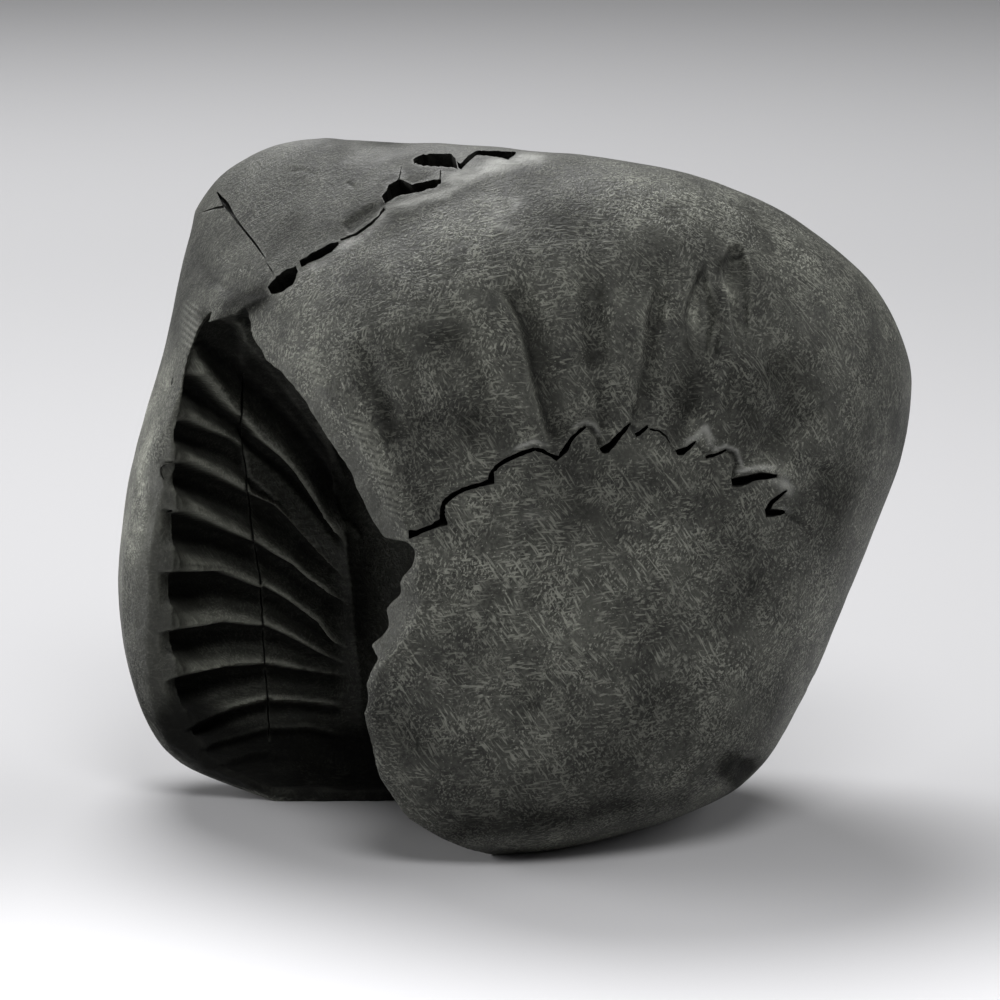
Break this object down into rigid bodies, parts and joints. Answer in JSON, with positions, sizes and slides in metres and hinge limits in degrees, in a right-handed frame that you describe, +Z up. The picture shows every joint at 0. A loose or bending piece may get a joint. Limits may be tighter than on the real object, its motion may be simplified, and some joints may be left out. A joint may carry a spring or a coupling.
{
  "type": "shaligram fossil",
  "caption": "River-worn black stone nodule with a ribbed hollow left by an ammonite, a jagged seam round a smooth disc and cracks under a cap, resting on a worn flat.",
  "frame": {"origin": "bottom centre of the stone's bounding box, on the plane it rests on", "axes": "+X across the stone's width, away from the ribbed hollow; -Y out of the worn face with the disc; +Z up as it rests"},
  "size_m": [0.0866, 0.0601, 0.0717],
  "materials": {
    "black_shale": "river-worn matt black shale with fine pale scratches and a faint sheen"
  },
  "bodies": {
    "root": {"shaligram_stone": "black_shale"}
  },
  "joints": []
}
